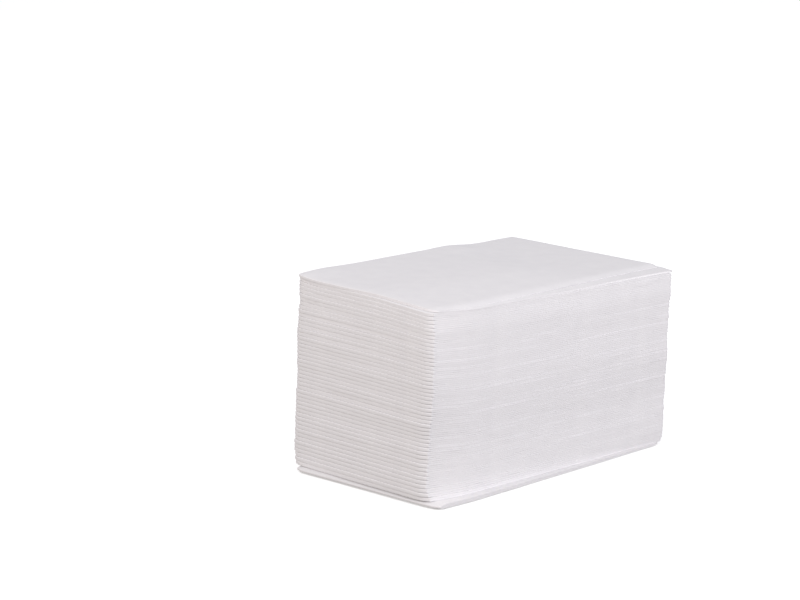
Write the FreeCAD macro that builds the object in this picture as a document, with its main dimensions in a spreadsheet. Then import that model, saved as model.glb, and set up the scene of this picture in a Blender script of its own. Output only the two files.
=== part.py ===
# A pile of 50 disposable face towels, each one sheet of soft nonwoven folded flat.
#
# A sheet is first folded in three along its length, like a letter, which gives a panel
# three plies thick. The panel is then folded in half across. So a towel is two panels
# joined by one round fold, its nose.
#
# Frame: +Z up, origin on the table, under the middle of the pile.
# The noses face -X and the loose ends of the panels +X. The closed letter fold of each
# panel faces -Y. Its other letter fold, with the loose ply beside it, faces +Y.
#
# The nose is thicker than the loose ends, so each towel is a slim wedge, and the pile
# fans: every towel lies flat on the sloping top of the one below.
import FreeCAD, Part

import math
import os
import random

from FreeCAD import Placement, Rotation, Vector
from Sketcher import Constraint

TOWELS = 50
SEED = 50  # of the small misalignments
PLIES = 3  # in a panel
NOSE_CORNERS = 8  # an even number, so that one chord of the nose stands upright

SIZES = {
    # alias: (value in millimetres, or degrees for a turn, and what it is)
    "towel_length": (221.0, "folded towel from its nose to its loose ends"),
    "towel_width": (132.0, "folded towel from letter fold to letter fold"),
    "ply": (0.39, "one thickness of the sheet, as pressed in the pile"),
    "nose_gap": (0.22, "room between the panels inside the nose"),
    "tail_gap": (0.115, "room between the panels at their loose ends"),
    "bottom_nose_gap": (1.30, "room inside the nose of the lowest towel, which sprang open"),
    "loose_ply_setback": (3.0, "how far the loose ply stops short of the letter fold"),
    "panel_step": (2.5, "how far the upper panel stops short of the lower one"),
    "lean_along": (5.8, "how far the pile leans towards the loose ends"),
    "lean_across": (3.8, "how far the pile leans towards the loose plies"),
    "drift": (0.8, "slow wander of the towels up the pile"),
    "scatter": (0.3, "how far a towel sits out of line with its neighbours"),
    "scatter_turn": (0.12, "how far a towel is turned from its neighbours"),
    "bottom_slip": (3.5, "how far the lowest towel slid out on the closed side"),
    "bottom_turn": (1.6, "how far the lowest towel is turned, nose outwards"),
    "top_slip": (2.6, "how far the top towel slid towards the loose plies"),
    "top_turn": (1.4, "how far the top towel is turned, because its nose was folded askew"),
}
PANEL = f"({PLIES} * sizes.ply)"  # the thickness of a panel, as a formula
WANDER = 7.0  # radians of the pile's slow wander, from the bottom to the top

ORIGIN, START, END, MIDDLE = -1, 1, 2, 3  # how a sketch names its origin and points


def make_sheet(doc):
    """The spreadsheet of driving sizes, one to a row: name, value, meaning."""
    sheet = doc.addObject("Spreadsheet::Sheet", "sizes")
    for row, (alias, (value, meaning)) in enumerate(SIZES.items(), start=1):
        sheet.set(f"A{row}", alias)
        sheet.set(f"B{row}", str(value))
        sheet.set(f"C{row}", meaning)
        sheet.setAlias(f"B{row}", alias)
    doc.recompute()
    return sheet


def wedge(sheet, nose_gap):
    """The slope of a towel's top, in radians, and where that top would meet the table.

    The middle of the upper panel runs straight from the nose's last corner to its loose
    end, which lies at the height that the tail gap gives it.
    """
    panel = PLIES * sheet.ply
    nose_height = panel + nose_gap / 2
    corner_shift = (nose_height - panel / 2) * math.tan(math.pi / NOSE_CORNERS / 2)
    corner_x = nose_height - corner_shift - sheet.towel_length / 2
    corner_height = 1.5 * panel + nose_gap
    fall = corner_height - 1.5 * panel - sheet.tail_gap
    slope = math.atan2(fall, sheet.towel_length / 2 - sheet.panel_step - corner_x)
    apex_x = corner_x + (panel / 2 + math.cos(slope) * corner_height) / math.sin(slope)
    return slope, apex_x


def new_sketch(body, name, role):
    """An empty sketch on one of the body's own origin planes."""
    sketch = body.newObject("Sketcher::SketchObject", name)
    plane = next(item for item in body.Origin.OriginFeatures if item.Role == role)
    sketch.AttachmentSupport = (plane, [""])
    sketch.MapMode = "FlatFace"
    return sketch


def pin(sketch, name, geometry, point, axis, formula):
    """Drives one coordinate of a point from the spreadsheet. axis is X or Y."""
    at = getattr(sketch.getPoint(geometry, point), axis.lower())
    ends = (ORIGIN, START, geometry, point)
    if at < 0:  # a distance is never negative, so it is measured the other way
        ends, formula = (geometry, point, ORIGIN, START), f"-({formula})"
    index = sketch.addConstraint(Constraint(f"Distance{axis}", *ends, abs(at)))
    sketch.renameConstraint(index, name)
    sketch.setExpression(f"Constraints.{name}", formula)


def draw_path(sketch, sheet, nose_gap):
    """The middle of the panel, seen from the closed side: in, round the nose and back.

    The nose is a run of equal chords whose ends lie on one circle, and whose middle one
    stands upright at the front. nose_gap is the alias of the room inside this nose.
    """
    panel, gap = PLIES * sheet.ply, sheet.get(nose_gap)
    half = sheet.towel_length / 2
    centre = Vector(panel + gap / 2 - half, panel + gap / 2, 0)
    turn = math.pi / NOSE_CORNERS
    reach = (centre.y - panel / 2) / math.cos(turn / 2)
    angles = [(i + 0.5) * turn for i in range(NOSE_CORNERS)]
    corners = [centre - reach * Vector(math.sin(a), math.cos(a), 0) for a in angles]
    lower_end = Vector(half, panel / 2, 0)
    upper_end = Vector(half - sheet.panel_step, 1.5 * panel + sheet.tail_gap, 0)
    points = [lower_end, *corners, upper_end]
    for start, end in zip(points, points[1:]):
        sketch.addGeometry(Part.LineSegment(start, end))
    circle = sketch.addGeometry(Part.Circle(centre, Vector(0, 0, 1), reach), True)

    lower, chords, upper = 0, range(1, NOSE_CORNERS), NOSE_CORNERS
    for line in (*chords, upper):
        sketch.addConstraint(Constraint("Coincident", line - 1, END, line, START))
        sketch.addConstraint(Constraint("PointOnObject", line, START, circle))
    for line in chords[1:]:
        sketch.addConstraint(Constraint("Equal", chords[0], line))
    sketch.addConstraint(Constraint("Horizontal", lower))
    front = chords[len(chords) // 2]
    sketch.addConstraint(Constraint("Vertical", front))

    half, nose_height = "sizes.towel_length / 2", f"({PANEL} + sizes.{nose_gap} / 2)"
    pin(sketch, "lower_end", lower, START, "X", half)
    pin(sketch, "lower_height", lower, START, "Y", f"{PANEL} / 2")
    pin(sketch, "nose_front", front, START, "X", f"{PANEL} / 2 - {half}")
    pin(sketch, "nose_x", circle, MIDDLE, "X", f"{nose_height} - {half}")
    pin(sketch, "nose_height", circle, MIDDLE, "Y", nose_height)
    pin(sketch, "upper_end", upper, END, "X", f"{half} - sizes.panel_step")
    pin(sketch, "upper_height", upper, END, "Y", f"1.5 * {PANEL} + sizes.tail_gap")


def draw_section(sketch, sheet):
    """The panel cut across: three plies, closed at one end, the loose ply at the other.

    Height 0 is the outside of the towel, and the panel's top faces the other panel. The
    closed fold is eased by one ply at its edges, and the fold of two plies by half a ply.
    """
    half, ply, loose = "sizes.towel_width / 2", "sizes.ply", "sizes.loose_ply_setback"
    corners = [
        # name, along the panel's width, up through its thickness
        ("closed_bottom", f"{ply} - {half}", "0"),
        ("fold_bottom", f"{half} - {ply} / 2", "0"),
        ("fold_lower", half, f"{ply} / 2"),
        ("fold_upper", half, f"1.5 * {ply}"),
        ("fold_top", f"{half} - {ply} / 2", f"2 * {ply}"),
        ("shelf", f"{half} - {loose}", f"2 * {ply}"),
        ("cut_top", f"{half} - {loose}", PANEL),
        ("closed_top", f"{ply} - {half}", PANEL),
        ("closed_upper", f"-{half}", f"{PANEL} - {ply}"),
        ("closed_lower", f"-{half}", ply),
    ]
    points = [
        Vector(sheet.evalExpression(y), sheet.evalExpression(z), 0) for _, y, z in corners
    ]
    for start, end in zip(points, points[1:] + points[:1]):
        sketch.addGeometry(Part.LineSegment(start, end))
    for i, (name, y, z) in enumerate(corners):
        before = (i - 1) % len(corners)
        sketch.addConstraint(Constraint("Coincident", before, END, i, START))
        pin(sketch, f"{name}_y", i, START, "X", y)
        if z == "0":
            sketch.addConstraint(Constraint("PointOnObject", i, START, ORIGIN))
        else:
            pin(sketch, f"{name}_z", i, START, "Y", z)


def make_towel(doc, sheet, name, nose_gap):
    """One towel, lying flat: its panel's section swept once round the nose."""
    body = doc.addObject("PartDesign::Body", name)
    path = new_sketch(body, f"{name}_path", "XZ_Plane")
    draw_path(path, sheet, nose_gap)
    section = new_sketch(body, f"{name}_section", "YZ_Plane")
    section.setExpression("AttachmentOffset.Base.z", "sizes.towel_length / 2")
    draw_section(section, sheet)
    fold = body.newObject("PartDesign::AdditivePipe", f"{name}_fold")
    fold.Profile = (section, [""])
    fold.Spine = (path, [""])
    fold.Transition = "Right corner"
    return body


def seat(sheet, level, rng):
    """Where the towel at this level of the pile sits in its own plane."""
    share = level / (TOWELS - 1)
    wander = sheet.drift * math.sin(WANDER * share)
    along = sheet.lean_along * share + wander + rng.uniform(-1, 1) * sheet.scatter
    across = sheet.lean_across * share - wander + rng.uniform(-1, 1) * sheet.scatter
    turn = rng.uniform(-1, 1) * sheet.scatter_turn
    if level == 0:
        across -= sheet.bottom_slip
        turn += sheet.bottom_turn
    if level == TOWELS - 1:
        across += sheet.top_slip
        turn += sheet.top_turn
    return Placement(Vector(along, across, 0), Rotation(Vector(0, 0, 1), turn))


def stack(sheet, towels):
    """Lays each towel on the sloping top of the one below, then centres the pile."""
    rng = random.Random(SEED)
    seats = [seat(sheet, level, rng) for level in range(TOWELS)]
    place = seats[0]
    for level, (body, nose_gap) in enumerate(towels):
        body.Placement = place
        if level < TOWELS - 1:
            slope, apex_x = wedge(sheet, sheet.get(nose_gap))
            turn = Rotation(Vector(0, 1, 0), math.degrees(slope))
            climb = Placement(Vector(), turn, Vector(apex_x, 0, 0))
            place = place * climb * seats[level].inverse() * seats[level + 1]
    box = FreeCAD.BoundBox()
    for body, _ in towels:
        box.add(body.Shape.optimalBoundingBox())
    middle = Vector(box.Center.x, box.Center.y, box.ZMin)
    for body, _ in towels:
        body.Placement.Base -= middle


def check(doc, bodies):
    """Stops if anything in the document failed, before any file is written."""
    failed = [o.Label for o in doc.Objects if {"Invalid", "Error"} & set(o.State)]
    bad = [b.Label for b in bodies if b.Shape.isNull() or not b.Shape.isValid()]
    if failed or bad:
        raise RuntimeError(f"failed objects: {failed}, bad shapes: {bad}")


def main():
    doc = FreeCAD.newDocument("towel_pile")
    sheet = make_sheet(doc)
    towels = []
    for level in range(TOWELS):
        nose_gap = "bottom_nose_gap" if level == 0 else "nose_gap"
        body = make_towel(doc, sheet, f"towel_{level + 1:02d}", nose_gap)
        towels.append((body, nose_gap))
    doc.recompute()
    stack(sheet, towels)
    doc.recompute()
    bodies = [body for body, _ in towels]
    check(doc, bodies)
    os.makedirs("parts", exist_ok=True)
    for body in bodies:
        body.Shape.exportStep(f"parts/{body.Label}.step")


main()
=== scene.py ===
import math

import bpy
from mathutils import Matrix, Vector


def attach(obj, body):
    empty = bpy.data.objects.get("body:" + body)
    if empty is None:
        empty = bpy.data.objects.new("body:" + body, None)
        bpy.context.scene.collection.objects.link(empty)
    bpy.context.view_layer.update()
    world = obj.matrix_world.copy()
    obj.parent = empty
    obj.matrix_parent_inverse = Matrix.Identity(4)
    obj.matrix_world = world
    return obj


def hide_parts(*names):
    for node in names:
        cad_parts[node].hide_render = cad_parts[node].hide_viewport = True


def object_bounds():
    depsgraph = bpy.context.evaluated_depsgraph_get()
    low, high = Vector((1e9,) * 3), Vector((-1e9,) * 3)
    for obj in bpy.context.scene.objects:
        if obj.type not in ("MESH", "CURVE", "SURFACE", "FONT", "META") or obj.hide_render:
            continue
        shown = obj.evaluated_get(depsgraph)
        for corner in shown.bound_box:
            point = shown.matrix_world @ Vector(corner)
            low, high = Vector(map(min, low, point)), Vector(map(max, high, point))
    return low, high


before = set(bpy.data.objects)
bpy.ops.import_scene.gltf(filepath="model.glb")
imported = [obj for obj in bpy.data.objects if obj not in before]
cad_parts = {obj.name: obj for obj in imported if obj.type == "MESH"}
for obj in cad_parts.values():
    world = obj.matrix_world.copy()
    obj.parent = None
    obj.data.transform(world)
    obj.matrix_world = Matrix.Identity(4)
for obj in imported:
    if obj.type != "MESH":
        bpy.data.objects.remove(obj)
cad_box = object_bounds()

MM = 0.001
SEED = 12  # of every small unevenness
SEED_STEP = 0.02  # how far it moves on from towel to towel, where 1 is all new
NAMES = sorted(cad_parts)  # towel_01 is the lowest
TOP = len(NAMES) - 1  # the level of the top towel, where the lowest is 0
LOW, HIGH = Vector(cad_box[0]), Vector(cad_box[1])
TOP_CORNERS = [vertex.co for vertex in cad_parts[NAMES[TOP]].data.vertices]
TAIL_TOP = max(corner.z for corner in TOP_CORNERS if corner.x > 0.9 * HIGH.x)

# The sheet and its folds.
LENGTH = 221 * MM  # folded towel, from its nose to its loose ends
WIDTH = 132 * MM  # folded towel, from letter fold to letter fold
PLY = 0.39 * MM  # the room that one ply takes in the pile
CLOTH = 0.36 * MM  # the thickness of the sheet itself
NOSE_GAP = 0.04 * MM  # room between the panels inside the nose
NOSE_OPENS = 9 * MM  # how far behind the nose that room has closed
LOOSE_SETBACK = 3.0 * MM  # how far the loose ply stops short of the letter fold
TUCK = 1.0 * MM  # how far the inner ply's edge stays clear of the closed fold
PANEL_STEP = 2.5 * MM  # how far the top towel's upper panel stops short of the lower one
FLUSH_STEP = 0.7 * MM  # the same of the others, whose ends were knocked level
FOLD_SHAPE = 0.2  # how the letter folds are pressed: 1 is round, near 0 is square
NOSE_SHAPES = (0.42, 0.24)  # the same of the lowest and of the highest nose
PINCH, PINCH_RUN = 0.15, 3 * MM  # the share that folded edges are thinned by, and how far in
END_RUN = 6.5 * MM  # how far in from both its ends a nose draws back
END_SETBACKS = (2.7 * MM, 2.4 * MM)  # and how far, at its closed end and at its loose plies
END_FADE = 40 * MM  # how far behind the nose that has faded
END_THINNING, END_THINNING_RUN = 0.2, 6 * MM  # the share that it loses there, and how far back
HALVES_MEET = 5 * MM  # how far from the middle its closed half turns into its open one
TOP_SKEW = math.tan(math.radians(1.4))  # how far each panel of the top towel swings out
TOP_THINNING = 0.75  # the share of its thickness that its upper panel loses at its closed fold
TOP_THINNING_RUN = (5 * MM, 0.5 * MM)  # from how far inside that fold, and to how far
FIBRES, CLOUDS = 900.0, 90.0  # tangles of 1.1 mm and paler patches of 11 mm, to the metre
WAVERS = (  # how far long edges and nose stray, slowly up the pile and each by itself
    ("y", 0.8 * MM, 0.06 * MM),
    ("x", 1.0 * MM, 0.25 * MM),
)
WAVER_SCALES = (12.0, 25.0)  # how closely, in turns to the metre, slowly and each by itself

# How the pile as a whole gives.
NOSE_RISE, NOSE_RISE_RUN = 3.0 * MM, 50 * MM  # how much higher noses lie half-way up, how far in
CROWN = 2.1 * MM  # how far the top bulges up
CROWN_FADE = (130 * MM, 180 * MM)  # how far behind the noses that begins to fade, and is gone
EDGE_SINK = 1.0 * MM  # how far the top is pressed down along the closed folds
CORNER_BULGE, CORNER_RUN = 3.4 * MM, 40 * MM  # how far the noses' closed corner bulges, how far in
NOSE_SWAY = (5.2 * MM, 1.2 * MM)  # how far the noses lie aside, low in the pile and high up
NOSE_SWAY_SPAN = (0.2, 0.62)  # the shares of the pile's height between which that changes
TAIL_SWAY = (-0.8 * MM, -4.6 * MM)  # how far the loose ends lie aside
TAIL_SWAY_SPAN = (0.25, 0.6)  # and the shares between which that changes
TOP_SWAY, TOP_SWAY_FROM = 2.0 * MM, 0.85  # how much further the top lies, from this share up
OWN_LIES = {  # how a few towels lie: how far along and aside, and turned by how many degrees
    0: (0.0, -1.0 * MM, 1.0),
    1: (1.4 * MM, -0.8 * MM, 0.7),
    2: (0.8 * MM, -0.5 * MM, 0.4),
    3: (0.8 * MM, -0.2 * MM, 0.15),
    TOP: (0.9 * MM, 0.8 * MM, 0.9),
}
LEVEL_FROM, LEVEL_REACH = 3, 2  # from which towel up closed folds are level, over how many each way
NOSE_ROLL = 1.6 * MM  # how far the top's edge falls at the closed end of the noses
NOSE_ROLL_RUN = (13 * MM, 5 * MM)  # from how far behind the noses, and to how far
NOSE_ROLL_MIDDLE = 2.2  # how many times further it falls in their middle
NOSE_ROLL_SPREAD = (10 * MM, 62 * MM)  # how far to each side that reaches in full, and at all
SIDE_ROLL = (1.2 * MM, 0.6 * MM)  # how far it falls along the closed folds, at nose and tail
SIDE_ROLL_RIM = (-61.0 * MM, -53.0 * MM)  # where across the towel that begins, at nose and tail
SIDE_ROLL_EDGE = -64 * MM  # and where it is in full
SIDE_ROLL_ENDS = (-100 * MM, 108 * MM)  # where along the towel its nose and tail values hold
OPEN_RISES = (  # where the open folds stand up: how high, where along them, and how far from there
    (1.6 * MM, 45 * MM, 30 * MM),
    (1.4 * MM, -105 * MM, 60 * MM),
)
OPEN_RISE_RIM = (42 * MM, 68 * MM)  # where across the towel that begins, and is in full
ROLLS_FROM, SIDE_ROLL_FROM = 0.8, 0.9  # the shares of the pile's height above which the top does so
TAIL_SINK = 0.4 * MM  # how much lower the top lies at its loose end
LOFT = 1.2 * MM  # how much thicker the top towel's loose end is, with nothing on it
LIFT, SIDE_LIFT = 1.1 * MM, 0.8  # how far the lowest nose stands off the floor; the sides' share
SLACKS = {0: (0.38, 0.0), TOP: (0.2, 0.2)}  # the share that a free nose and side lose in height
FREE_RUN, FREE_STEEPNESS = 8 * MM, 2.2  # how far in from a free edge, and how sharply there
PULLED_CORNERS = {0: 11 * MM, 1: 4 * MM}  # how round the closed corner at the tail is
PULLED_CORNER = 1 * MM  # the same of all the others
DRAW, LOWEST_DRAW = 0.94, 0.97  # how wide a towel still is at its nose, as a share
DRAW_RUN = 35 * MM  # how far behind the nose it has its full width

# How finely the flat sheet is divided.
STEPS_ACROSS = (5, 12, 6)  # across the inner ply, the outer one and the loose one
FINE_STEPS_ACROSS = (26, 26, 26)  # the same of the uppermost towels, whose edges are rolled over
FINE_TOWELS = 8  # how many those are
FOLD_STEPS = 12  # round each letter fold
NOSE_STEPS = 14  # round the nose
PANEL_STEPS = 40  # along each panel
CROWDING = 0.75  # how much closer they lie at the ends of each of these, where 0 is even

# Where the sheet bends: from the middle of the outer ply out to each letter fold, and from
# the middle of the nose out to the flat of each panel.
OPEN_RADIUS, CLOSED_RADIUS = PLY / 2, PLY  # of the cloth's middle, round one ply and two
OPEN_START = WIDTH / 2 - OPEN_RADIUS - CLOTH / 2
CLOSED_START = WIDTH / 2 - CLOSED_RADIUS - CLOTH / 2
NOSE_AXIS = 3 * PLY + NOSE_GAP / 2  # height of the nose's middle over the towel's underside
NOSE_RUN = (NOSE_AXIS - 1.5 * PLY) * math.pi / 2

LARGE_FACE = 1e-3  # square metres
FLUSH = 1e-3 * MM  # how near to a face a corner counts as one of its own

MATH = "ShaderNodeMath"
RANGE = "ShaderNodeMapRange"
NOISE = "ShaderNodeTexNoise"


def linear(hex_colour):
    """An sRGB hex colour as linear RGBA."""
    parts = [int(hex_colour[i : i + 2], 16) / 255 for i in (1, 3, 5)]
    return [c / 12.92 if c <= 0.04045 else ((c + 0.055) / 1.055) ** 2.4 for c in parts] + [1]


def add(tree, kind, *inputs, **settings):
    """Adds a node with its settings, and gives its output, or a list where it has several.

    The inputs are sockets to link or values to set, in the order of the node's own inputs,
    and None leaves one as it is.
    """
    node = tree.nodes.new(kind)
    for name, value in settings.items():
        setattr(node, name, value)
    for socket, value in zip([s for s in node.inputs if s.enabled], inputs):
        if isinstance(value, bpy.types.NodeSocket):
            tree.links.new(value, socket)
        elif value is not None:
            socket.default_value = value
    outputs = [s for s in node.outputs if s.enabled]
    return outputs[0] if len(outputs) == 1 else outputs


def new_tree(name, inputs):
    """A geometry tree with named inputs after the geometry, and the sockets of all of them."""
    tree = bpy.data.node_groups.new(name, "GeometryNodeTree")
    tree.interface.new_socket("Geometry", in_out="INPUT", socket_type="NodeSocketGeometry")
    for label, kind in inputs.items():
        tree.interface.new_socket(label, in_out="INPUT", socket_type=f"NodeSocket{kind}")
    tree.interface.new_socket("Geometry", in_out="OUTPUT", socket_type="NodeSocketGeometry")
    return tree, tree.nodes.new("NodeGroupInput").outputs[: len(inputs) + 1]


def spaced(start, end, steps):
    """Places from start to end, closer together near both."""
    shares = [i / steps for i in range(steps + 1)]
    eased = [s + CROWDING * (0.5 - 0.5 * math.cos(math.pi * s) - s) for s in shares]
    return [start + (end - start) * s for s in eased]


def spaced_bend(start, end, steps):
    """Places round a bend, closer together near its ends and near its middle."""
    middle = (start + end) / 2
    return [*spaced(start, middle, steps // 2), *spaced(middle, end, steps // 2)[1:]]


def flat_sheet(step, steps_across):
    """The sheet before it is folded: X runs across the letter folds, Y along the towel.

    The outer ply's middle is at X 0, and the nose at Y 0, with the lower panel below it. The
    upper panel stops short of the lower one by the step.
    """
    inner, outer, loose = steps_across
    open_end = OPEN_START + math.pi * OPEN_RADIUS
    closed_end = CLOSED_START + math.pi * CLOSED_RADIUS
    across = [
        *spaced(-closed_end - CLOSED_START - WIDTH / 2 + LOOSE_SETBACK, -closed_end, loose),
        *spaced_bend(-closed_end, -CLOSED_START, FOLD_STEPS)[1:],
        *spaced(-CLOSED_START, OPEN_START, outer)[1:],
        *spaced_bend(OPEN_START, open_end, FOLD_STEPS)[1:],
        *spaced(open_end, open_end + OPEN_START + CLOSED_START - TUCK, inner)[1:],
    ]
    flat = LENGTH - NOSE_AXIS
    along = [
        *spaced(-NOSE_RUN - flat, -NOSE_RUN, PANEL_STEPS),
        *spaced_bend(-NOSE_RUN, NOSE_RUN, NOSE_STEPS)[1:],
        *spaced(NOSE_RUN, NOSE_RUN + flat - step, PANEL_STEPS)[1:],
    ]
    columns, rows = len(across), len(along)
    points = [(x, y, z) for z in (-CLOTH / 2, CLOTH / 2) for y in along for x in across]
    under = [row * columns + column for row in range(rows - 1) for column in range(columns - 1)]
    over = columns * rows  # the same point on the sheet's other side
    faces = [(i, i + columns, i + columns + 1, i + 1) for i in under]
    faces += [tuple(i + over for i in reversed(face)) for face in faces]
    first, last = range(columns), range(over - columns, over)
    left, right = range(0, over, columns), range(columns - 1, over, columns)
    for rim, turned in ((first, False), (last, True), (left, True), (right, False)):
        for i, j in zip(rim, rim[1:]):
            face = (i, j, j + over, i + over)
            faces.append(face[::-1] if turned else face)
    mesh = bpy.data.meshes.new("flat_sheet")
    mesh.from_pydata(points, [], faces)
    cloth = mesh.uv_layers.new(name="cloth")
    for loop in mesh.loops:
        cloth.data[loop.index].uv = mesh.vertices[loop.vertex_index].co.xy
    mesh.shade_smooth()
    return mesh, (across[-1] - across[0], along[-1] - along[0])


def squared_arc(tree, bend, shape):
    """How far out and how far up a point lies on a half turn that is pressed square.

    Both are shares of the turn's radius, for a bend from 0, straight up, to pi, straight down.
    """
    sine = add(tree, MATH, bend, operation="SINE")
    ahead = add(tree, MATH, sine, shape, operation="POWER")
    cosine = add(tree, MATH, bend, operation="COSINE")
    sign = add(tree, MATH, cosine, operation="SIGN")
    size = add(tree, MATH, cosine, operation="ABSOLUTE")
    size = add(tree, MATH, size, shape, operation="POWER")
    return ahead, add(tree, MATH, size, sign, operation="MULTIPLY")


def fold_tree():
    """Folds a flat sheet in three across and then in half, and lets its edges waver.

    The folded towel lies with its nose at the lowest X, in the middle in Y, and its height
    is left as a share, from 0 on its underside to 1 on its top.
    """
    inputs = {"Nose Shape": "Float", "Skew": "Float", "Thinning": "Float", "Unevenness": "Float"}
    tree, sockets = new_tree("fold_towel", inputs)
    geometry, nose_shape, skew, thinning, unevenness = sockets
    position = add(tree, "GeometryNodeInputPosition")
    across, along, level = add(tree, "ShaderNodeSeparateXYZ", position)

    # Letter folds: out to where the cloth bends, round the bend, and back over itself.
    closed = add(tree, "FunctionNodeCompare", across, 0.0, operation="LESS_THAN")
    radius = add(tree, "GeometryNodeSwitch", closed, OPEN_RADIUS, CLOSED_RADIUS, input_type="FLOAT")
    start = add(tree, "GeometryNodeSwitch", closed, OPEN_START, CLOSED_START, input_type="FLOAT")
    side = add(tree, MATH, across, operation="SIGN")
    reach = add(tree, MATH, across, operation="ABSOLUTE")
    past = add(tree, MATH, reach, start, operation="SUBTRACT")
    arc = add(tree, MATH, radius, math.pi, operation="MULTIPLY")
    bend = add(tree, RANGE, past, 0.0, arc, 0.0, math.pi)
    beyond = add(tree, MATH, past, arc, operation="SUBTRACT")
    back = add(tree, MATH, beyond, 0.0, operation="MAXIMUM")
    near = add(tree, MATH, reach, start, operation="MINIMUM")
    arm = add(tree, MATH, radius, level, operation="SUBTRACT")
    ahead, upward = squared_arc(tree, bend, FOLD_SHAPE)
    out = add(tree, MATH, arm, ahead, near, operation="MULTIPLY_ADD")
    out = add(tree, MATH, out, back, operation="SUBTRACT")
    drop = add(tree, MATH, arm, upward, operation="MULTIPLY")
    height = add(tree, MATH, radius, drop, operation="SUBTRACT")
    panel_y = add(tree, MATH, out, side, operation="MULTIPLY")
    panel_z = add(tree, MATH, height, PLY / 2, operation="ADD")

    # The folded edges are pinched a little, here more and there less.
    place = add(tree, "ShaderNodeCombineXYZ", along, unevenness, 0.0)
    pinch, _ = add(tree, NOISE, place, 60.0, 2.0, noise_dimensions="2D")
    pinch = add(tree, RANGE, pinch, 0.6, 0.8, 0.0, PINCH)
    at_edge = add(tree, RANGE, out, WIDTH / 2 - PINCH_RUN, WIDTH / 2, 0.0, 1.0)
    pinch = add(tree, MATH, pinch, at_edge, operation="MULTIPLY")
    keep = add(tree, MATH, 1.0, pinch, operation="SUBTRACT")
    middle = add(tree, MATH, panel_z, 1.5 * PLY, operation="SUBTRACT")
    panel_z = add(tree, MATH, middle, keep, 1.5 * PLY, operation="MULTIPLY_ADD")

    # The thinned closed fold of an upper panel sinks on to the lower one.
    rim, edge = [run - WIDTH / 2 for run in TOP_THINNING_RUN]
    at_edge = add(tree, RANGE, panel_y, rim, edge, 0.0, 1.0)
    upper = add(tree, MATH, along, 0.0, operation="GREATER_THAN")
    thin = add(tree, MATH, at_edge, upper, operation="MULTIPLY")
    thin = add(tree, MATH, thin, thinning, operation="MULTIPLY")
    to_inside = add(tree, MATH, 3 * PLY, panel_z, operation="SUBTRACT")
    panel_z = add(tree, MATH, thin, to_inside, panel_z, operation="MULTIPLY_ADD")

    # The nose: the panel runs in below, round, and out again above. Behind the nose the two
    # panels close on each other.
    from_nose = add(tree, MATH, along, operation="ABSOLUTE")
    beyond = add(tree, MATH, from_nose, NOSE_RUN, operation="SUBTRACT")
    run = add(tree, MATH, beyond, 0.0, operation="MAXIMUM")
    axis = add(tree, RANGE, run, 0.0, NOSE_OPENS, NOSE_AXIS, 3 * PLY,
               interpolation_type="SMOOTHSTEP")
    arm = add(tree, MATH, axis, panel_z, operation="SUBTRACT")
    bend = add(tree, RANGE, along, NOSE_RUN, -NOSE_RUN, 0.0, math.pi)
    ahead, upward = squared_arc(tree, bend, nose_shape)
    forward = add(tree, MATH, arm, ahead, operation="MULTIPLY")
    x = add(tree, MATH, run, forward, operation="SUBTRACT")
    x = add(tree, MATH, x, NOSE_AXIS - LENGTH / 2, operation="ADD")
    z = add(tree, MATH, arm, upward, axis, operation="MULTIPLY_ADD")
    share = add(tree, MATH, z, axis, operation="DIVIDE")
    share = add(tree, MATH, share, 0.5, operation="MULTIPLY")

    # The panels of a towel whose nose was folded askew swing apart.
    panel = add(tree, MATH, along, operation="SIGN")
    swing = add(tree, MATH, run, skew, operation="MULTIPLY")
    y = add(tree, MATH, swing, panel, panel_y, operation="MULTIPLY_ADD")

    # Long edges and nose waver, slowly up the pile and a little from towel to towel.
    scale, own_scale = WAVER_SCALES
    for axis, swing, own_swing in WAVERS:
        both, other = (from_nose, along) if axis == "y" else (y, y)
        slow = add(tree, "ShaderNodeCombineXYZ", both, unevenness, 0.0)
        own = add(tree, MATH, unevenness, 37.0, operation="MULTIPLY")
        own = add(tree, "ShaderNodeCombineXYZ", other, own, 0.0)
        slow, _ = add(tree, NOISE, slow, scale, 2.0, noise_dimensions="2D")
        own, _ = add(tree, NOISE, own, own_scale, 2.0, noise_dimensions="2D")
        slow = add(tree, RANGE, slow, 0.0, 1.0, -swing, swing)
        own = add(tree, RANGE, own, 0.0, 1.0, -own_swing, own_swing)
        sway = add(tree, MATH, slow, own, operation="ADD")
        if axis == "y":
            y = add(tree, MATH, y, sway, operation="ADD")
        else:
            x = add(tree, MATH, x, sway, operation="ADD")

    position = add(tree, "ShaderNodeCombineXYZ", x, y, share)
    folded = add(tree, "GeometryNodeSetPosition", geometry, None, position)
    add(tree, "NodeGroupOutput", folded)
    return tree


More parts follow.
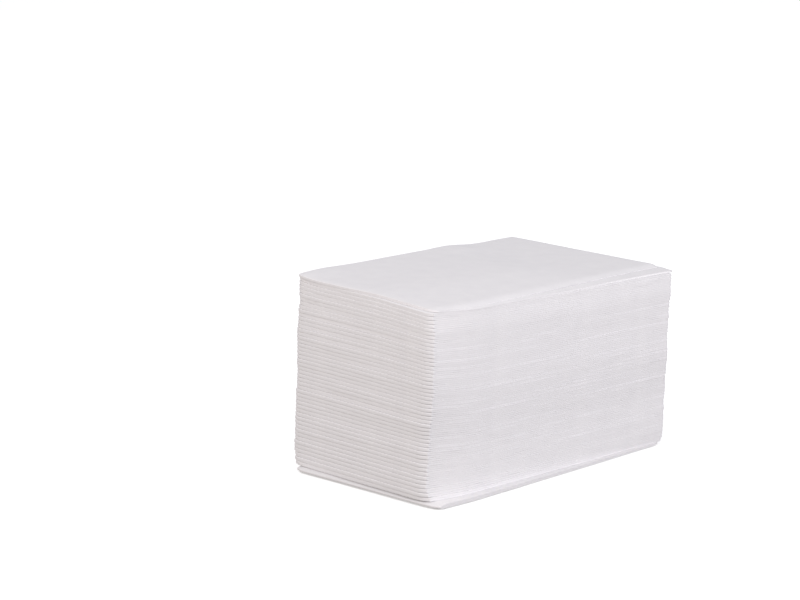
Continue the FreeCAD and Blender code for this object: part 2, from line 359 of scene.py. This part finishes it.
def lay_tree(material):
    """Lays a folded towel in its seat, between the surfaces it shares with its neighbours."""
    inputs = {
        "Seat": "Vector",
        "Turn": "Float",
        "Underside at Nose": "Float",
        "Underside at Tail": "Float",
        "Top at Nose": "Float",
        "Top at Tail": "Float",
        "Pulled Corner": "Float",
        "Draw": "Float",
        "Slack at Nose": "Float",
        "Slack at Side": "Float",
        "Lift": "Float",
    }
    tree, sockets = new_tree("lay_towel", inputs)
    geometry, seat, turn, low_nose, low_tail, high_nose, high_tail, *others = sockets
    pulled, draw, nose_slack, side_slack, lift = others
    position = add(tree, "GeometryNodeInputPosition")
    x, y, share = add(tree, "ShaderNodeSeparateXYZ", position)

    # Where nothing presses on it, its edges fall away from the height that it could fill.
    steepness = []
    for place, half, slack in ((x, LENGTH / 2, nose_slack), (y, WIDTH / 2, side_slack)):
        fall = add(tree, RANGE, place, FREE_RUN - half, -half, 0.0, 1.0)
        steep = add(tree, MATH, fall, FREE_STEEPNESS, operation="POWER")
        lost = add(tree, MATH, steep, slack, operation="MULTIPLY")
        keep = add(tree, MATH, 1.0, lost, operation="SUBTRACT")
        share = add(tree, MATH, share, keep, operation="MULTIPLY")
        steepness.append(steep)
    at_nose, at_side = steepness
    at_rim = add(tree, MATH, at_side, SIDE_LIFT, operation="MULTIPLY")
    at_rim = add(tree, MATH, at_rim, at_nose, operation="MAXIMUM")
    lift = add(tree, MATH, lift, at_rim, operation="MULTIPLY")

    # Both ends of its nose draw back and thin out.
    wide = add(tree, MATH, y, operation="ABSOLUTE")
    end = add(tree, RANGE, wide, WIDTH / 2 - END_RUN, WIDTH / 2, 0.0, 1.0)
    near = add(tree, RANGE, x, -LENGTH / 2, END_FADE - LENGTH / 2, 1.0, 0.0,
               interpolation_type="SMOOTHSTEP")
    bow = add(tree, MATH, end, end, operation="MULTIPLY")
    setback = add(tree, RANGE, y, -HALVES_MEET, HALVES_MEET, *END_SETBACKS)
    back = add(tree, MATH, bow, near, operation="MULTIPLY")
    x = add(tree, MATH, back, setback, x, operation="MULTIPLY_ADD")
    behind = END_THINNING_RUN - LENGTH / 2
    front = add(tree, RANGE, x, -LENGTH / 2, behind, END_THINNING, 0.0)
    thin = add(tree, MATH, front, end, operation="MULTIPLY")
    thin = add(tree, MATH, 1.0, thin, operation="SUBTRACT")
    middle = add(tree, MATH, share, 0.5, operation="SUBTRACT")
    share = add(tree, MATH, middle, thin, 0.5, operation="MULTIPLY_ADD")

    # The closed corner at the tail is pulled in to a round one, most on the lowest towels.
    inner_y = add(tree, MATH, WIDTH / 2, pulled, operation="SUBTRACT")
    inner_x = add(tree, MATH, LENGTH / 2, pulled, operation="SUBTRACT")
    outward = add(tree, MATH, y, -1.0, operation="MULTIPLY")
    a = add(tree, RANGE, outward, inner_y, WIDTH / 2, 0.0, 1.0)
    b = add(tree, RANGE, x, inner_x, LENGTH / 2, 0.0, 1.0)
    moved = []
    for own, other in ((a, b), (b, a)):
        half_square = add(tree, MATH, other, other, operation="MULTIPLY")
        half_square = add(tree, MATH, half_square, -0.5, 1.0, operation="MULTIPLY_ADD")
        root = add(tree, MATH, half_square, operation="SQRT")
        lost = add(tree, MATH, 1.0, root, operation="SUBTRACT")
        lost = add(tree, MATH, lost, own, operation="MULTIPLY")
        moved.append(add(tree, MATH, lost, pulled, operation="MULTIPLY"))
    y = add(tree, MATH, y, moved[0], operation="ADD")
    x = add(tree, MATH, x, moved[1], operation="SUBTRACT")

    # Its long sides draw in towards the nose.
    draw = add(tree, RANGE, x, -LENGTH / 2, DRAW_RUN - LENGTH / 2, draw, 1.0,
               interpolation_type="SMOOTHSTEP")
    y = add(tree, MATH, y, draw, operation="MULTIPLY")

    # Its seat in the pile.
    flat = add(tree, "ShaderNodeCombineXYZ", x, y, 0.0)
    turned = add(tree, "ShaderNodeVectorRotate", flat, None, turn, rotation_type="Z_AXIS")
    seated = add(tree, "ShaderNodeVectorMath", turned, seat, operation="ADD")
    x, y, _ = add(tree, "ShaderNodeSeparateXYZ", seated)
    low = add(tree, RANGE, x, LOW.x, HIGH.x, low_nose, low_tail, clamp=False)
    high = add(tree, RANGE, x, LOW.x, HIGH.x, high_nose, high_tail, clamp=False)
    z = add(tree, RANGE, share, 0.0, 1.0, low, high, clamp=False)
    to_top = add(tree, MATH, 1.0, share, operation="SUBTRACT")
    z = add(tree, MATH, to_top, lift, z, operation="MULTIPLY_ADD")

    position = add(tree, "ShaderNodeCombineXYZ", x, y, z)
    laid = add(tree, "GeometryNodeSetPosition", geometry, None, position)
    settled = settle(tree, laid)
    real = add(tree, "GeometryNodeRealizeInstances", settled)
    dressed = add(tree, "GeometryNodeSetMaterial", real, None, material)
    add(tree, "NodeGroupOutput", dressed)
    return tree


def settle(tree, geometry):
    """How the pile as a whole gives: one smooth map of space, so nothing crosses."""
    position = add(tree, "GeometryNodeInputPosition")
    x, y, z = add(tree, "ShaderNodeSeparateXYZ", position)
    top = add(tree, RANGE, x, LOW.x, HIGH.x, HIGH.z, TAIL_TOP)
    share = add(tree, MATH, z, top, operation="DIVIDE")
    left = add(tree, MATH, 1.0, share, operation="SUBTRACT")
    squared = add(tree, MATH, share, share, operation="MULTIPLY")

    # The noses are thickest half-way up the pile.
    hump = add(tree, MATH, share, left, operation="MULTIPLY")
    near_nose = add(tree, RANGE, x, LOW.x, LOW.x + NOSE_RISE_RUN, 4 * NOSE_RISE, 0.0,
                    interpolation_type="SMOOTHSTEP")
    up = add(tree, MATH, hump, near_nose, operation="MULTIPLY")

    # The top is crowned, except along the closed folds, which are pressed lower.
    starts, ends = [LOW.x + run for run in CROWN_FADE]
    tail = add(tree, RANGE, x, starts, ends, 1.0, 0.0, interpolation_type="SMOOTHSTEP")
    crown = add(tree, RANGE, y, LOW.y, 0.0, -EDGE_SINK, CROWN, interpolation_type="SMOOTHSTEP")
    crown = add(tree, MATH, crown, tail, operation="MULTIPLY")
    up = add(tree, MATH, crown, squared, up, operation="MULTIPLY_ADD")

    # Its edge is rolled over at the noses, most in their middle, and not at their loose plies.
    starts, ends = [LOW.x + run for run in NOSE_ROLL_RUN]
    near = add(tree, RANGE, x, starts, ends, 0.0, 1.0)
    near = add(tree, MATH, near, near, operation="MULTIPLY")
    inner, outer = NOSE_ROLL_SPREAD
    fall = add(tree, RANGE, y, -outer, -inner, -NOSE_ROLL, -NOSE_ROLL_MIDDLE * NOSE_ROLL)
    rise = add(tree, RANGE, y, inner, outer, 0.0, NOSE_ROLL_MIDDLE * NOSE_ROLL)
    roll = add(tree, MATH, fall, rise, operation="ADD")
    roll = add(tree, MATH, roll, near, operation="MULTIPLY")
    high_up = add(tree, RANGE, share, ROLLS_FROM, 1.0, 0.0, 1.0, interpolation_type="SMOOTHSTEP")
    up = add(tree, MATH, roll, high_up, up, operation="MULTIPLY_ADD")

    # Along the closed folds it is rolled over from where the top towel's upper panel ends.
    rim = add(tree, RANGE, x, *SIDE_ROLL_ENDS, *SIDE_ROLL_RIM)
    beyond = add(tree, MATH, rim, y, operation="SUBTRACT")
    width = add(tree, MATH, rim, SIDE_ROLL_EDGE, operation="SUBTRACT")
    near = add(tree, MATH, beyond, width, operation="DIVIDE", use_clamp=True)
    fall = add(tree, RANGE, x, *SIDE_ROLL_ENDS, *SIDE_ROLL)
    roll = add(tree, MATH, near, fall, operation="MULTIPLY")
    very_high = add(tree, RANGE, share, SIDE_ROLL_FROM, 1.0, 0.0, -1.0,
                    interpolation_type="SMOOTHSTEP")
    up = add(tree, MATH, roll, very_high, up, operation="MULTIPLY_ADD")

    # Along the open folds it stands up in two places.
    near = add(tree, RANGE, y, *OPEN_RISE_RIM, 0.0, 1.0, interpolation_type="SMOOTHSTEP")
    near = add(tree, MATH, near, high_up, operation="MULTIPLY")
    for height, place, reach in OPEN_RISES:
        away = add(tree, MATH, x, place, operation="SUBTRACT")
        away = add(tree, MATH, away, operation="ABSOLUTE")
        rise = add(tree, RANGE, away, 0.0, reach, height, 0.0, interpolation_type="SMOOTHSTEP")
        up = add(tree, MATH, rise, near, up, operation="MULTIPLY_ADD")

    # Two thirds of the way up, the closed corner of the noses bulges out. There the product
    # of the shares is greatest, at 4/27.
    bulge = add(tree, MATH, squared, left, operation="MULTIPLY")
    bulge = add(tree, MATH, bulge, 27 / 4, operation="MULTIPLY")
    bulge = add(tree, MATH, bulge, bulge, operation="MULTIPLY")
    corner_x = add(tree, RANGE, x, LOW.x, LOW.x + CORNER_RUN, -CORNER_BULGE, 0.0,
                   interpolation_type="SMOOTHSTEP")
    corner_y = add(tree, RANGE, y, LOW.y, 0.0, 1.0, 0.0, interpolation_type="SMOOTHSTEP")
    corner = add(tree, MATH, corner_x, corner_y, operation="MULTIPLY")
    aside = add(tree, MATH, bulge, corner, operation="MULTIPLY")

    # The pile leans over aside and is a little twisted.
    noses = add(tree, RANGE, share, *NOSE_SWAY_SPAN, *NOSE_SWAY, interpolation_type="SMOOTHSTEP")
    tails = add(tree, RANGE, share, *TAIL_SWAY_SPAN, *TAIL_SWAY, interpolation_type="SMOOTHSTEP")
    along = add(tree, RANGE, x, LOW.x, HIGH.x, 0.0, 1.0)
    twist = add(tree, MATH, tails, noses, operation="SUBTRACT")
    sway = add(tree, MATH, twist, along, noses, operation="MULTIPLY_ADD")
    top_sway = add(tree, RANGE, share, TOP_SWAY_FROM, 1.0, 0.0, TOP_SWAY,
                   interpolation_type="SMOOTHSTEP")
    aside = add(tree, MATH, aside, sway, operation="ADD")
    aside = add(tree, MATH, aside, top_sway, operation="ADD")

    offset = add(tree, "ShaderNodeCombineXYZ", 0.0, aside, up)
    return add(tree, "GeometryNodeSetPosition", geometry, None, None, offset)


def nonwoven():
    """Spunlace nonwoven of viscose: matt white, with a faint tangle of fine fibres."""
    material = bpy.data.materials.new("spunlace_nonwoven")
    material.use_nodes = True
    tree = material.node_tree
    tree.nodes.clear()
    cloth = add(tree, "ShaderNodeUVMap", uv_map="cloth")
    strands, _ = add(tree, NOISE, cloth, FIBRES, 3.0, 0.6, noise_dimensions="2D")
    cloudy, _ = add(tree, NOISE, cloth, CLOUDS, 3.0, 0.5, noise_dimensions="2D")
    shades = linear("#E7E6E8"), linear("#EEEDEE")
    colour = add(tree, "ShaderNodeMix", cloudy, *shades, data_type="RGBA")
    bump = add(tree, "ShaderNodeBump", 0.5, 0.05 * MM, None, strands)
    shader = tree.nodes.new("ShaderNodeBsdfPrincipled")
    shader.inputs["Roughness"].default_value = 0.92
    shader.inputs["Specular IOR Level"].default_value = 0.25
    shader.inputs["Sheen Weight"].default_value = 0.15
    shader.inputs["Sheen Roughness"].default_value = 0.6
    tree.links.new(colour, shader.inputs["Base Color"])
    tree.links.new(bump, shader.inputs["Normal"])
    add(tree, "ShaderNodeOutputMaterial", shader.outputs[0])
    return material


def lines_of(node):
    """Where a CAD towel lies: its seat, its turn, and the line of its underside.

    The underside is the one flat face whose four corners are the lowest of all that look
    down, and the line is its height at the nose end and at the tail end of the pile.
    """
    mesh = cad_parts[node].data
    down = [face for face in mesh.polygons if face.normal.z < -0.9 and face.area > LARGE_FACE]
    face = min(down, key=lambda f: f.center.z)
    middle, normal = face.center.copy(), face.normal.copy()
    flush = [v.co for v in mesh.vertices if abs((v.co - middle).dot(normal)) < FLUSH]
    corners = sorted({tuple(round(value, 6) for value in co) for co in flush})
    nose = (Vector(corners[0]) + Vector(corners[1])) / 2
    tail = (Vector(corners[2]) + Vector(corners[3])) / 2
    way = (tail - nose).normalized()
    seat = tail - way * LENGTH / 2
    slope = (tail.z - nose.z) / (tail.x - nose.x)
    heights = [tail.z + slope * (x - tail.x) for x in (LOW.x, HIGH.x)]
    return Vector((seat.x, seat.y, 0)), math.atan2(way.y, way.x), heights


def towels(material):
    """All the towels, each a plain mesh that replaces its CAD node."""
    sheets = [flat_sheet(FLUSH_STEP, STEPS_ACROSS)] * (len(NAMES) - FINE_TOWELS)
    sheets += [flat_sheet(FLUSH_STEP, FINE_STEPS_ACROSS)] * (FINE_TOWELS - 1)
    sheets.append(flat_sheet(PANEL_STEP, FINE_STEPS_ACROSS))
    fold, lay = fold_tree(), lay_tree(material)
    lines = [lines_of(name) for name in NAMES]
    for level in range(LEVEL_FROM, TOP):
        first, last = level - LEVEL_REACH, min(level + LEVEL_REACH, TOP - 1)
        near = [seat.y for seat, _, _ in lines[first : last + 1]]
        lines[level][0].y = sum(near) / len(near)
    for level, (along, aside, turned) in OWN_LIES.items():
        seat, turn, heights = lines[level]
        lines[level] = seat + Vector((along, aside, 0)), turn + math.radians(turned), heights
    for level, (_, _, heights) in enumerate(lines):
        heights[1] -= LOFT * 0.5 ** (TOP - level)  # half as much from towel to towel down
    tops = [heights for _, _, heights in lines[1:]] + [[HIGH.z, TAIL_TOP - TAIL_SINK]]
    pile = []
    lowest_shape, highest_shape = NOSE_SHAPES
    for level, (name, (seat, turn, heights), top) in enumerate(zip(NAMES, lines, tops)):
        nose_slack, side_slack = SLACKS.get(level, (0.0, 0.0))
        values = {
            "Nose Shape": lowest_shape + (highest_shape - lowest_shape) * level / TOP,
            "Skew": TOP_SKEW if level == TOP else 0.0,
            "Thinning": TOP_THINNING if level == TOP else 0.0,
            "Unevenness": SEED + SEED_STEP * level,
            "Seat": seat,
            "Turn": turn,
            "Underside at Nose": heights[0],
            "Underside at Tail": heights[1],
            "Top at Nose": top[0],
            "Top at Tail": top[1],
            "Pulled Corner": PULLED_CORNERS.get(level, PULLED_CORNER),
            "Draw": LOWEST_DRAW if level == 0 else DRAW,
            "Slack at Nose": nose_slack,
            "Slack at Side": side_slack,
            "Lift": LIFT if level == 0 else 0.0,
        }
        raw = bpy.data.objects.new(f"flat_{name}", sheets[level][0])
        bpy.context.scene.collection.objects.link(raw)
        for tree in (fold, lay):
            modifier = raw.modifiers.new(tree.name, "NODES")
            modifier.node_group = tree
            for item in tree.interface.items_tree:
                if item.in_out == "INPUT" and item.name in values:
                    modifier[item.identifier] = values[item.name]
        evaluated = raw.evaluated_get(bpy.context.evaluated_depsgraph_get())
        mesh = bpy.data.meshes.new_from_object(evaluated)
        mesh.name = f"{name}_cloth"
        piece = bpy.data.objects.new(f"{name}_cloth", mesh)
        bpy.context.scene.collection.objects.link(piece)
        bpy.data.objects.remove(raw)
        pile.append(piece)
    sizes = [size for _, size in sheets]
    for name, piece, below, flat in zip(NAMES, pile, ["floor", *pile], sizes):
        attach(piece, "root")
        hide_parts(name)
    return pile


def floor():
    """A plain white floor that keeps the pile's soft shadow."""
    material = bpy.data.materials.new("white_floor_paper")
    material.use_nodes = True
    tree = material.node_tree
    tree.nodes.clear()
    seen = add(tree, "ShaderNodeLightPath")[0]
    paper = add(tree, "ShaderNodeBsdfDiffuse", linear("#969492"))
    white = add(tree, "ShaderNodeBsdfDiffuse", linear("#FFFFFF"))
    glow = add(tree, "ShaderNodeEmission", linear("#FFFFFF"), 0.42)
    lit = add(tree, "ShaderNodeAddShader", white, glow)
    shown = add(tree, "ShaderNodeMixShader", seen, paper, lit)
    add(tree, "ShaderNodeOutputMaterial", shown)
    half = 6.0  # metres, far past the picture
    mesh = bpy.data.meshes.new("floor")
    corners = [(-half, -half, 0), (half, -half, 0), (half, half, 0), (-half, half, 0)]
    mesh.from_pydata(corners, [], [(0, 1, 2, 3)])
    mesh.materials.append(material)
    piece = bpy.data.objects.new("floor", mesh)
    bpy.context.scene.collection.objects.link(piece)


def aimed(place, way):
    """The placement of a lamp or camera that stands at a place and looks some way."""
    turned = way.to_track_quat("-Z", "Y").to_matrix().to_4x4()
    return Matrix.Translation(place) @ turned


def studio():
    """An even white surround and two large soft lamps."""
    world = bpy.data.worlds.new("studio")
    bpy.context.scene.world = world
    world.use_nodes = True
    tree = world.node_tree
    tree.nodes.clear()
    seen = add(tree, "ShaderNodeLightPath")[0]
    surround = add(tree, "ShaderNodeBackground", linear("#F3F4FA"), 0.6)
    white = add(tree, "ShaderNodeBackground", (1.0, 1.0, 1.0, 1.0), 1.0)
    shown = add(tree, "ShaderNodeMixShader", seen, surround, white)
    add(tree, "ShaderNodeOutputWorld", shown)
    lamps = {
        # name: (place, size, colour, power in watts)
        "lamp_front": ((0.2, -1.9, 0.63), 1.2, "#FFFBFD", 21.7),
        "lamp_left": ((-1.6, 0.1, 0.9), 1.2, "#FFF4EC", 14.9),
    }
    for name, (place, size, colour, power) in lamps.items():
        lamp = bpy.data.lights.new(name, "AREA")
        lamp.shape, lamp.size, lamp.energy = "SQUARE", size, power
        lamp.color = linear(colour)[:3]
        holder = bpy.data.objects.new(name, lamp)
        bpy.context.scene.collection.objects.link(holder)
        holder.matrix_world = aimed(place, Vector((0, 0, HIGH.z / 2)) - Vector(place))


def camera():
    """Looks at the front corner, from a little above."""
    yaw, pitch = math.radians(44.27), math.radians(13.29)
    ahead = math.cos(pitch)
    look = Vector((math.sin(yaw) * ahead, math.cos(yaw) * ahead, -math.sin(pitch)))
    lens = bpy.data.cameras.new("camera")
    lens.lens, lens.sensor_width = 135.0, 36.0
    holder = bpy.data.objects.new("camera", lens)
    bpy.context.scene.collection.objects.link(holder)
    place = Vector((-1398.3, -1355.0, 567.5)) * MM
    holder.matrix_world = aimed(place, look)
    bpy.context.scene.camera = holder


bpy.context.scene.view_settings.view_transform = "Standard"
floor()
towels(nonwoven())
studio()
camera()

bpy.context.view_layer.update()
